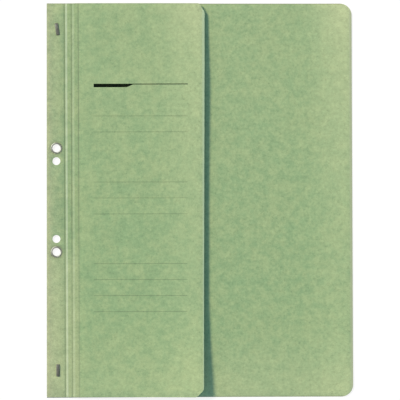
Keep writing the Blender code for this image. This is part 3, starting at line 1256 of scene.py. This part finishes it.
@dataclass
class BackSheet(ScoredSheet):
    """The back sheet: strip, two spine panels and the full cover that lies on the table."""

    layer: Layer = Layer.BACK
    cover_body: str = "back_cover"
    cover_node: str = "back_cover"
    edge_lift: float = 0.9 * MM
    lift_width: float = 45 * MM
    lift_power: float = 2
    middle_share: float = 0.5
    corner_power: float = 3

    def outer_height(self, x: float, y: float) -> float:
        """Height of the outer face before the scores are pressed.

        Args:
            x: X of the place.
            y: Y of the place.

        Returns:
            The height on the strip, the slanted spine or the cover, whose right edge lifts a
            little, most at its corners.
        """
        strip, cover = self.plan.hinges["back_strip_fold"], self.plan.hinges["back_cover_fold"]
        climb = held((cover.x - x) / (cover.x - strip.x))
        share = held(1 - (self.plan.right - x) / self.lift_width) ** self.lift_power
        corner = (abs(y) / self.plan.half_height) ** self.corner_power
        lift = self.edge_lift * share * (self.middle_share + (1 - self.middle_share) * corner)
        return cover.z + (strip.z - cover.z) * climb + lift


@dataclass
class EyeletPair:
    """The two set eyelets: a domed flange in front, a barrel, and a roll behind that has split."""

    plan: FolderPlan
    material: Material
    bore: float = 3.0 * MM
    wall: float = 0.32 * MM
    flange: float = 4.5 * MM
    roll: float = 4.2 * MM
    seat: float = 1.4 * MM
    dome: float = 0.58 * MM
    back_seat: float = 0.45 * MM
    back_dome: float = 0.42 * MM
    splits: int = 6
    split_half: float = 0.13
    split_pull: float = 0.6 * MM
    arc_steps: int = 9
    spin_steps: int = 120

    def dome_points(self, outer: float, seat: float, height: float) -> list[Point2]:
        """Half an ellipse from the outer rim over to the bore.

        Args:
            outer: Radius of the outer rim.
            seat: Height of the card's face.
            height: Rise of the dome, below zero behind the strip.

        Returns:
            Radius and height of each point.
        """
        middle = (outer + self.bore) / 2
        half = (outer - self.bore) / 2
        angles = [math.pi * step / self.arc_steps for step in range(self.arc_steps + 1)]
        return [(middle + half * math.cos(a), seat + height * math.sin(a)) for a in angles]

    def profile(self) -> list[Point2]:
        """Trace the section of an eyelet.

        Returns:
            Radius and height of each point of the closed outline.
        """
        front = self.dome_points(self.flange, self.seat, self.dome)
        back = self.dome_points(self.roll, self.back_seat, -self.back_dome)
        barrel = self.bore + self.wall
        return front + back[::-1] + [(barrel, self.back_seat), (barrel, self.seat)]

    def split(self, mesh: BMesh) -> None:
        """Open the roll behind the strip at even angles.

        Args:
            mesh: Eyelet centred on the Z axis.
        """
        barrel = self.bore + self.wall
        for vert in mesh.verts:
            radius = math.hypot(vert.co.x, vert.co.y)
            share = (radius - barrel) / (self.roll - barrel)
            if vert.co.z > self.back_seat + TOUCH or share <= 0:
                continue
            turn = math.atan2(vert.co.y, vert.co.x) * self.splits / (2 * math.pi)
            opened = share * smooth(1 - abs(turn - round(turn)) / self.split_half)
            pulled = 1 - self.split_pull * opened / radius
            height = vert.co.z + (self.back_seat - vert.co.z) * opened
            vert.co = (vert.co.x * pulled, vert.co.y * pulled, height)

    def build_one(self, end: End) -> Object:
        """Build one eyelet.

        Args:
            end: Which of the two.

        Returns:
            The finished piece.
        """
        mesh = bmesh.new()
        ring = [mesh.verts.new((radius, 0, z)) for radius, z in self.profile()]
        edges = [mesh.edges.new((ring[i - 1], ring[i])) for i in range(len(ring))]
        bmesh.ops.spin(
            mesh, geom=ring + edges, cent=(0, 0, 0), axis=(0, 0, 1), angle=2 * math.pi,
            steps=self.spin_steps, use_merge=True,
        )
        bmesh.ops.remove_doubles(mesh, verts=mesh.verts[:], dist=TOUCH)
        bmesh.ops.recalc_face_normals(mesh, faces=mesh.faces[:])
        self.split(mesh)
        centre = self.plan.holes[f"{end.label}_eyelet_bore"]
        bmesh.ops.translate(mesh, verts=mesh.verts[:], vec=(centre.x, centre.y, 0))
        piece = as_piece(f"{end.label}_eyelet_metal", mesh, self.material)
        return settle(piece, "strip", f"{end.label}_eyelet")

    def build(self) -> list[Object]:
        """Both eyelets on the strip."""
        return [self.build_one(end) for end in End]


@dataclass
class StaplePair:
    """The two flat-wire staples, crowned in front and clinched behind the strip."""

    material: Material
    length: float = 9.4 * MM
    width: float = 2.6 * MM
    wire: float = 0.5 * MM
    seat: float = 1.4 * MM
    top: float = 2.0 * MM
    clinch: float = 3.2 * MM
    clinch_top: float = 0.38 * MM
    toe_lift: float = 0.1 * MM
    bend: float = 0.42 * MM
    edge_round: float = 0.13 * MM
    upper_tilt: float = math.radians(8.5)

    def section(self) -> list[Vector]:
        """Trace the side outline of a staple.

        Returns:
            Corner places along Y and Z, on the staple's left side.
        """
        half = self.length / 2
        inner = half - self.wire
        toe = half - self.clinch
        right = [
            (inner, self.seat), (inner, self.clinch_top), (toe, self.clinch_top),
            (toe, self.toe_lift), (half, 0), (half, self.top),
        ]
        points = right + [(-y, z) for y, z in reversed(right)]
        return [Vector((-self.width / 2, y, z)) for y, z in points]

    def build_one(self, end: End) -> Object:
        """Build one staple.

        Args:
            end: Which of the two.

        Returns:
            The finished piece.
        """
        low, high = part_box(f"{end.label}_staple")
        mesh = prism(self.section(), Vector((self.width, 0, 0)))
        crown = edges_where(mesh, Axis.X, lambda place: place.z > self.top - TOUCH)
        soften(mesh, crown, self.bend, segments=5)
        soften(mesh, sharp_edges(mesh), self.edge_round, segments=3)
        tilt = self.upper_tilt if end is End.UPPER else 0.0
        place = Matrix.Translation(((low.x + high.x) / 2, (low.y + high.y) / 2, 0))
        bmesh.ops.transform(mesh, matrix=place @ Matrix.Rotation(tilt, 4, "Z"), verts=mesh.verts[:])
        piece = as_piece(f"{end.label}_staple_wire", mesh, self.material)
        return settle(piece, "strip", f"{end.label}_staple")

    def build(self) -> list[Object]:
        """Both staples on the strip."""
        return [self.build_one(end) for end in End]


@dataclass
class ProngFastener:
    """The inner fastener: glued card patch, pressed cover bar, two prongs and two sliding locks."""

    plan: FolderPlan
    card: Material
    steel: Material
    patch_round: float = 5 * MM
    patch_sheet: float = 0.25 * MM
    patch_sink: float = 0.08 * MM
    patch_edge: float = 0.05 * MM
    patch_crown: float = 4.5 * MM
    patch_slope: float = 2.0 * MM
    bar_round: float = 3 * MM
    bar_sheet: float = 0.3 * MM
    bar_edge: float = 0.08 * MM
    bar_crisp: float = math.radians(25)
    bar_floor: float = 4.0 * MM
    bar_flange: float = 4.6 * MM
    slot_length: float = 7 * MM
    slot_width: float = 1.4 * MM
    prong_sheet: float = 0.25 * MM
    prong_tip: float = 2.4 * MM
    prong_edge: float = 0.03 * MM
    stub_top: float = 1.6 * MM
    slider_wall: float = 0.28 * MM
    slider_bend: float = 0.252 * MM
    slider_edge: float = 0.04 * MM
    slider_lip: float = 2.0 * MM
    rib_height: float = 0.1 * MM
    rib_count: int = 4
    rib_margin: float = 1 / 6
    rib_slope: float = 1 / 4

    @property
    def centre_x(self) -> float:
        """X of the fastener's middle line."""
        return self.plan.hinges["upper_prong_bend"].x

    def slotted(self, node: str, radius: float, lines: Sequence[float]) -> BMesh:
        """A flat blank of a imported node's outline with a slot for each prong.

        Args:
            node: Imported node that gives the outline.
            radius: Corner radius.
            lines: Distances from the middle line where the blank will bend.

        Returns:
            The flat blank, centred on X 0.
        """
        low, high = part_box(node)
        half = (high.x - low.x) / 2
        across, along = self.slot_length / 2, self.slot_width / 2
        mesh = round_blank((-half, low.y), (half, high.y), lambda place: Corner(radius, radius))
        centres = [self.plan.hinges[f"{end.label}_prong_bend"].y for end in End]
        columns = [side * line for line in (*lines, across) for side in (-1, 1)]
        rows = [centre + side * along for centre in centres for side in (-1, 1)]
        slice_grid(mesh, columns, rows)

        def in_slot(face: BMFace) -> bool:
            """Whether a face lies in one of the slots."""
            x, y, _ = face.calc_center_median()
            return abs(x) < across and any(abs(y - centre) < along for centre in centres)

        bmesh.ops.delete(mesh, geom=[face for face in mesh.faces if in_slot(face)], context="FACES")
        return mesh

    def press(self, mesh: BMesh, low: float, high: float, inner: float, outer: float) -> None:
        """Raise a blank from one height to another across its width.

        Args:
            mesh: Thick flat blank centred on X 0, whose lower face is at Z 0.
            low: Height of the lower face on the middle line.
            high: Height of the lower face at the sides.
            inner: Distance from the middle line where the change starts.
            outer: Distance from the middle line where the change ends.
        """
        for vert in mesh.verts:
            vert.co.z += low + (high - low) * held((abs(vert.co.x) - inner) / (outer - inner))
            vert.co.x += self.centre_x

    def build_patch(self) -> Object:
        """Build the card strip glued over the fastener's base.

        Returns:
            The finished piece.
        """
        low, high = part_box("fastener_patch")
        foot = self.patch_crown + self.patch_slope
        mesh = self.slotted("fastener_patch", self.patch_round, [self.patch_crown, foot])
        thicken(mesh, Vector((0, 0, self.patch_sheet)))
        soften(mesh, sharp_edges(mesh), self.patch_edge)
        mark_cuts(mesh)
        self.press(mesh, high.z - self.patch_sheet, low.z - self.patch_sink, self.patch_crown, foot)
        mark_places(mesh)
        piece = as_piece("fastener_patch_card", mesh, self.card)
        return settle(piece, "back_cover", "fastener_patch")

    def build_bar(self) -> Object:
        """Build the cover bar, a channel with raised flanges that guide the locks.

        Returns:
            The finished piece.
        """
        low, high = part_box("cover_bar")
        mesh = self.slotted("cover_bar", self.bar_round, [self.bar_floor, self.bar_flange])
        thicken(mesh, Vector((0, 0, self.bar_sheet)))
        soften(mesh, sharp_edges(mesh), self.bar_edge, segments=3)
        self.press(mesh, low.z, high.z - self.bar_sheet, self.bar_floor, self.bar_flange)
        piece = as_piece("cover_bar_steel", mesh, self.steel, self.bar_crisp)
        return settle(piece, "back_cover", "cover_bar")

    def build_prong(self, end: End) -> Object:
        """Build one prong with the bend that joins it to the base.

        Args:
            end: Which of the two.

        Returns:
            The finished piece.
        """
        hinge = self.plan.hinges[f"{end.label}_prong_bend"]
        low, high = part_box(f"{end.label}_prong")
        sheet, half = self.prong_sheet, (high.x - low.x) / 2
        length = high.y - low.y + sheet
        outline = [
            (-sheet / 2, self.stub_top), (-sheet / 2, high.z), (length, high.z),
            (length, low.z), (sheet / 2, low.z), (sheet / 2, self.stub_top),
        ]
        mesh = prism([Vector((-half, y, z)) for y, z in outline], Vector((2 * half, 0, 0)))
        tip = edges_where(mesh, Axis.Z, lambda place: place.y > length - TOUCH)
        soften(mesh, tip, self.prong_tip, segments=10)
        outer = TOUCH - sheet / 2
        bend = edges_where(mesh, Axis.X, lambda place: place.y < outer and place.z > low.z)
        soften(mesh, bend, sheet, segments=5)
        soften(mesh, sharp_edges(mesh), self.prong_edge)
        inward = Matrix.Diagonal((1, -end.value, 1, 1))
        place = Matrix.Translation((hinge.x, hinge.y, 0))
        bmesh.ops.transform(mesh, matrix=place @ inward, verts=mesh.verts[:])
        bmesh.ops.recalc_face_normals(mesh, faces=mesh.faces[:])
        piece = as_piece(f"{end.label}_prong_steel", mesh, self.steel)
        finish = (hinge.x, hinge.y - end.value * 2 * sheet, low.z + sheet)
        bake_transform(piece)
        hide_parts(f"{end.label}_prong")
        return piece

    def build_slider(self, end: End) -> Object:
        """Build one lock, a clip bent round the bar's flanges and ribbed on top for the thumb.

        Args:
            end: Which of the two.

        Returns:
            The finished piece.
        """
        low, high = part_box(f"{end.label}_slider")
        half = (high.x - low.x) / 2
        inner, tip = half - self.slider_wall, half - self.slider_lip
        roof, lip = high.z - self.slider_wall, low.z + self.slider_wall
        right = [
            (inner, roof), (inner, lip), (tip, lip), (tip, low.z), (half, low.z), (half, high.z),
        ]
        outline = right + [(-x, z) for x, z in reversed(right)]
        mesh = prism([Vector((x, low.y, z)) for x, z in outline], Vector((0, high.y - low.y, 0)))
        sides = edges_where(mesh, Axis.Y, lambda place: abs(place.x) > half - TOUCH)
        soften(mesh, sides, self.slider_bend, segments=4)
        soften(mesh, sharp_edges(mesh), self.slider_edge)
        self.rib(mesh, low.y, high.y, high.z)
        bmesh.ops.translate(mesh, verts=mesh.verts[:], vec=(self.centre_x, 0, 0))
        piece = as_piece(f"{end.label}_slider_steel", mesh, self.steel)
        return settle(piece, f"{end.label}_slider", f"{end.label}_slider")

    def rib(self, mesh: BMesh, start: float, stop: float, top: float) -> None:
        """Raise thumb ribs across the roof of a lock.

        Args:
            mesh: Lock to change.
            start: Lowest Y of the lock.
            stop: Highest Y of the lock.
            top: Height of the roof.
        """
        margin = (stop - start) * self.rib_margin
        pitch = (stop - start - 2 * margin) / (2 * self.rib_count - 1)
        places = [start + margin + pitch * index for index in range(2 * self.rib_count)]
        slice_grid(mesh, (), places)
        for low, high in zip(places[::2], places[1::2]):
            roof = [
                face for face in mesh.faces
                if face.normal.z > LEVEL and face.calc_center_median().z > top - TOUCH
                and low < face.calc_center_median().y < high
            ]
            slope = pitch * self.rib_slope
            bmesh.ops.inset_region(mesh, faces=roof, thickness=slope, depth=self.rib_height)

    def build(self) -> list[Object]:
        """Build the fastener around its packed base.

        Returns:
            The patch, the bar, the prongs, the locks and the base.
        """
        base = frame["nodes"]["fastener_base"]
        base.data.materials.clear()
        base.data.materials.append(self.steel)
        prongs = [self.build_prong(end) for end in End]
        sliders = [self.build_slider(end) for end in End]
        return [self.build_patch(), self.build_bar(), *prongs, *sliders, base]


@dataclass
class PrintedRuling:
    """The heading bar and the writing lines printed on the half cover."""

    sheet: FrontSheet
    ink: Material
    hairline: Material
    left: float = -81.8 * MM
    right: float = -9.2 * MM
    heading_top: float = 89.6 * MM
    heading_height: float = 2.7 * MM
    heading_end: float = -56.3 * MM
    heading_point: float = -50.0 * MM
    heading_rule: float = 0.6 * MM
    rule_width: float = 0.45 * MM
    groups: tuple[tuple[float, int], ...] = ((64.7 * MM, 2), (13.75 * MM, 3), (-49.1 * MM, 4))
    pitch: float = 12.29 * MM
    film: float = 0.02 * MM
    column_step: float = 5 * MM

    def line(self, y: float, left: float, width: float) -> list[Point2]:
        """Corner places of one ruled line that ends at the right margin."""
        low, high = y - width / 2, y + width / 2
        return [(left, low), (self.right, low), (self.right, high), (left, high)]

    def stamp(self, name: str, outlines: Sequence[Sequence[Point2]], material: Material) -> Object:
        """Print flat outlines onto the half cover as a thin film.

        Args:
            name: Name of the piece.
            outlines: Corner places of each printed shape, along X and Y.
            material: Ink of the shapes.

        Returns:
            The finished piece.
        """
        mesh = bmesh.new()
        for outline in outlines:
            mesh.faces.new([mesh.verts.new((x, y, 0)) for x, y in outline])
        slice_grid(mesh, spread(self.left, self.right, self.column_step), ())
        thicken(mesh, Vector((0, 0, 2 * self.film)))
        for vert in mesh.verts:
            x, y, z = vert.co
            height = z - self.film + self.sheet.outer_height(x, y)
            vert.co = (x + self.sheet.draw_in(x, y), y, height)
        mark_places(mesh)
        piece = as_piece(name, mesh, material)
        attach(piece, "half_cover")
        return piece

    def build(self) -> list[Object]:
        """Print the ruling.

        Returns:
            The heading bar, its rule and the groups of writing lines.
        """
        top = self.heading_top
        foot = top - self.heading_height
        slant = self.heading_point - self.heading_end
        knee = self.heading_point - slant * self.heading_rule / self.heading_height
        bar = [
            (self.left, foot), (self.heading_end, foot), (knee, top - self.heading_rule), (knee, top),
            (self.left, top),
        ]
        rule = self.line(top - self.heading_rule / 2, knee, self.heading_rule)
        lines = [
            self.line(start - self.pitch * index, self.left, self.rule_width)
            for start, count in self.groups for index in range(count)
        ]
        return [
            self.stamp("heading_bar", [bar], self.ink),
            self.stamp("heading_rule", [rule], self.ink),
            self.stamp("writing_lines", lines, self.hairline),
        ]


@dataclass
class Studio:
    """White table, soft key light from the upper left, cool fill and a long-lens camera from above.

    Metal mirrors a dim room with one soft box that stands where the key light is.
    """

    floor_size: float = 12.0
    floor_cells: int = 8
    floor_drop: float = 0.05 * MM
    key_strength: float = 3.55
    key_colour: tuple[float, float, float] = (1.0, 0.79, 0.575)
    key_elevation: float = math.radians(40)
    key_heading: float = math.radians(145)
    key_softness: float = math.radians(14)
    fill: Colour = (0.293, 0.448, 0.605, 1.0)
    room: Colour = (0.24, 0.24, 0.235, 1.0)
    soft_box: Colour = (1.5, 1.48, 1.42, 1.0)
    box_edge: float = math.cos(math.radians(42))
    box_middle: float = math.cos(math.radians(18))
    horizon: Colour = (0.96, 0.96, 0.96, 1.0)
    camera_place: tuple[float, float, float] = (-37.27 * MM, -37.62 * MM, 1501.41 * MM)
    camera_turn: tuple[float, float, float] = (1.433, -1.423, -0.134)
    lens: float = 175.0
    sensor: float = 36.0

    @property
    def toward_key(self) -> Vector:
        """Direction from the folder to the key light."""
        flat, rise = math.cos(self.key_elevation), math.sin(self.key_elevation)
        return Vector((flat * math.cos(self.key_heading), flat * math.sin(self.key_heading), rise))

    def lay_floor(self) -> Object:
        """Lay the table that the folder lies on.

        Returns:
            The floor.
        """
        mesh, cells = bmesh.new(), self.floor_cells
        bmesh.ops.create_grid(mesh, x_segments=cells, y_segments=cells, size=self.floor_size / 2)
        bmesh.ops.translate(mesh, verts=mesh.verts[:], vec=(0, 0, -self.floor_drop))
        floor = as_piece("studio_floor", mesh, FloorFinish("white_table").material())
        return floor

    def light(self) -> None:
        """Set up the key light and the room around the table."""
        lamp = bpy.data.lights.new("key_light", "SUN")
        lamp.energy = self.key_strength
        lamp.color = self.key_colour
        lamp.angle = self.key_softness
        key = bpy.data.objects.new("key_light", lamp)
        key.rotation_euler = self.toward_key.to_track_quat("Z", "Y").to_euler()
        key.visible_glossy = False
        bpy.context.scene.collection.objects.link(key)
        world = bpy.data.worlds.new("studio_room")
        world.use_nodes = True
        bpy.context.scene.world = world
        graph = Graph(world.node_tree)
        heading = graph.node("ShaderNodeTexCoord", {}, {}, "Generated")
        dot = {0: heading, 1: self.toward_key}
        near = graph.node("ShaderNodeVectorMath", {"operation": "DOT_PRODUCT"}, dot, "Value")
        mirrored = graph.mix(self.room, self.soft_box, near.ramp(self.box_edge, self.box_middle))
        sky = graph.mix(self.fill, mirrored, graph.node("ShaderNodeLightPath", {}, {}, "Is Glossy Ray"))
        sky = graph.mix(sky, self.horizon, graph.node("ShaderNodeLightPath", {}, {}, "Is Camera Ray"))
        glow = graph.node("ShaderNodeBackground", {}, {"Color": sky})
        graph.node("ShaderNodeOutputWorld", {}, {"Surface": glow})

    def place_camera(self) -> None:
        """Place the camera at the photograph's viewing angle."""
        data = bpy.data.cameras.new("camera")
        data.lens = self.lens
        data.sensor_width = self.sensor
        camera = bpy.data.objects.new("camera", data)
        camera.location = self.camera_place
        camera.rotation_euler = [math.radians(angle) for angle in self.camera_turn]
        bpy.context.scene.collection.objects.link(camera)
        bpy.context.scene.camera = camera
        bpy.context.scene.view_settings.view_transform = "Standard"

    def build(self) -> list[Object]:
        """Set up the studio.

        Returns:
            The floor.
        """
        self.light()
        self.place_camera()
        return [self.lay_floor()]


def main() -> None:
    """Build the folder and its studio, and report each piece."""
    logging.basicConfig(level=logging.INFO, format="%(message)s")
    plan = FolderPlan.from_frame()
    left, half = plan.left, plan.half_height
    eyelet = tuple(plan.holes["upper_eyelet_bore"].xy)
    front_card = CardFinish(
        "front_card", left, plan.cover_edge, half, plan.scores, score_wear=(0.44, 0.18, 0.0),
        right_fade=0.2, upper_fade=0.12, foot_fade=0.17, end_soil=0.3, left_soil=0.0,
        right_rub=0.55, right_tan=0.0, eyelet=eyelet,
    )
    back_card = CardFinish(
        "back_card", left, plan.right, half, plan.scores, score_wear=(0.3, 0.1, 0.0),
        right_rub=0.35, eyelet=eyelet,
    )
    ruled_card = CardFinish("ruled_card", left, plan.cover_edge, half, ink=0.68)
    patch_card = CardFinish("patch_card", left, plan.cover_edge, half, upper_fade=0.0, foot_fade=0.1)
    ink = InkFinish("print_ink")
    steel = MetalFinish(
        "zinc_plate", clean=srgb(214, 216, 215), tarnish=srgb(174, 178, 177), roughness=0.32,
        line_turn=math.pi / 2, metallic=0.7,
    )
    nickel = MetalFinish(
        "nickel_plate", clean=srgb(234, 237, 224), tarnish=srgb(186, 189, 174), roughness=0.22,
    )
    wire = MetalFinish(
        "staple_wire", clean=srgb(178, 182, 171), tarnish=srgb(106, 110, 98), roughness=0.36,
        line_turn=math.pi / 2,
    )
    front = FrontSheet(plan, front_card.material())
    assemblies = (
        BackSheet(plan, back_card.material()),
        front,
        EyeletPair(plan, nickel.material()),
        StaplePair(wire.material()),
        ProngFastener(plan, patch_card.material(), steel.material()),
        PrintedRuling(front, ink.material(), ruled_card.material()),
        Studio(),
    )
    for assembly in assemblies:
        for piece in assembly.build():
            LOG.info("%s: %s, %d faces", type(assembly).__name__, piece.name, len(piece.data.polygons))


if __name__ == "__main__":
    main()
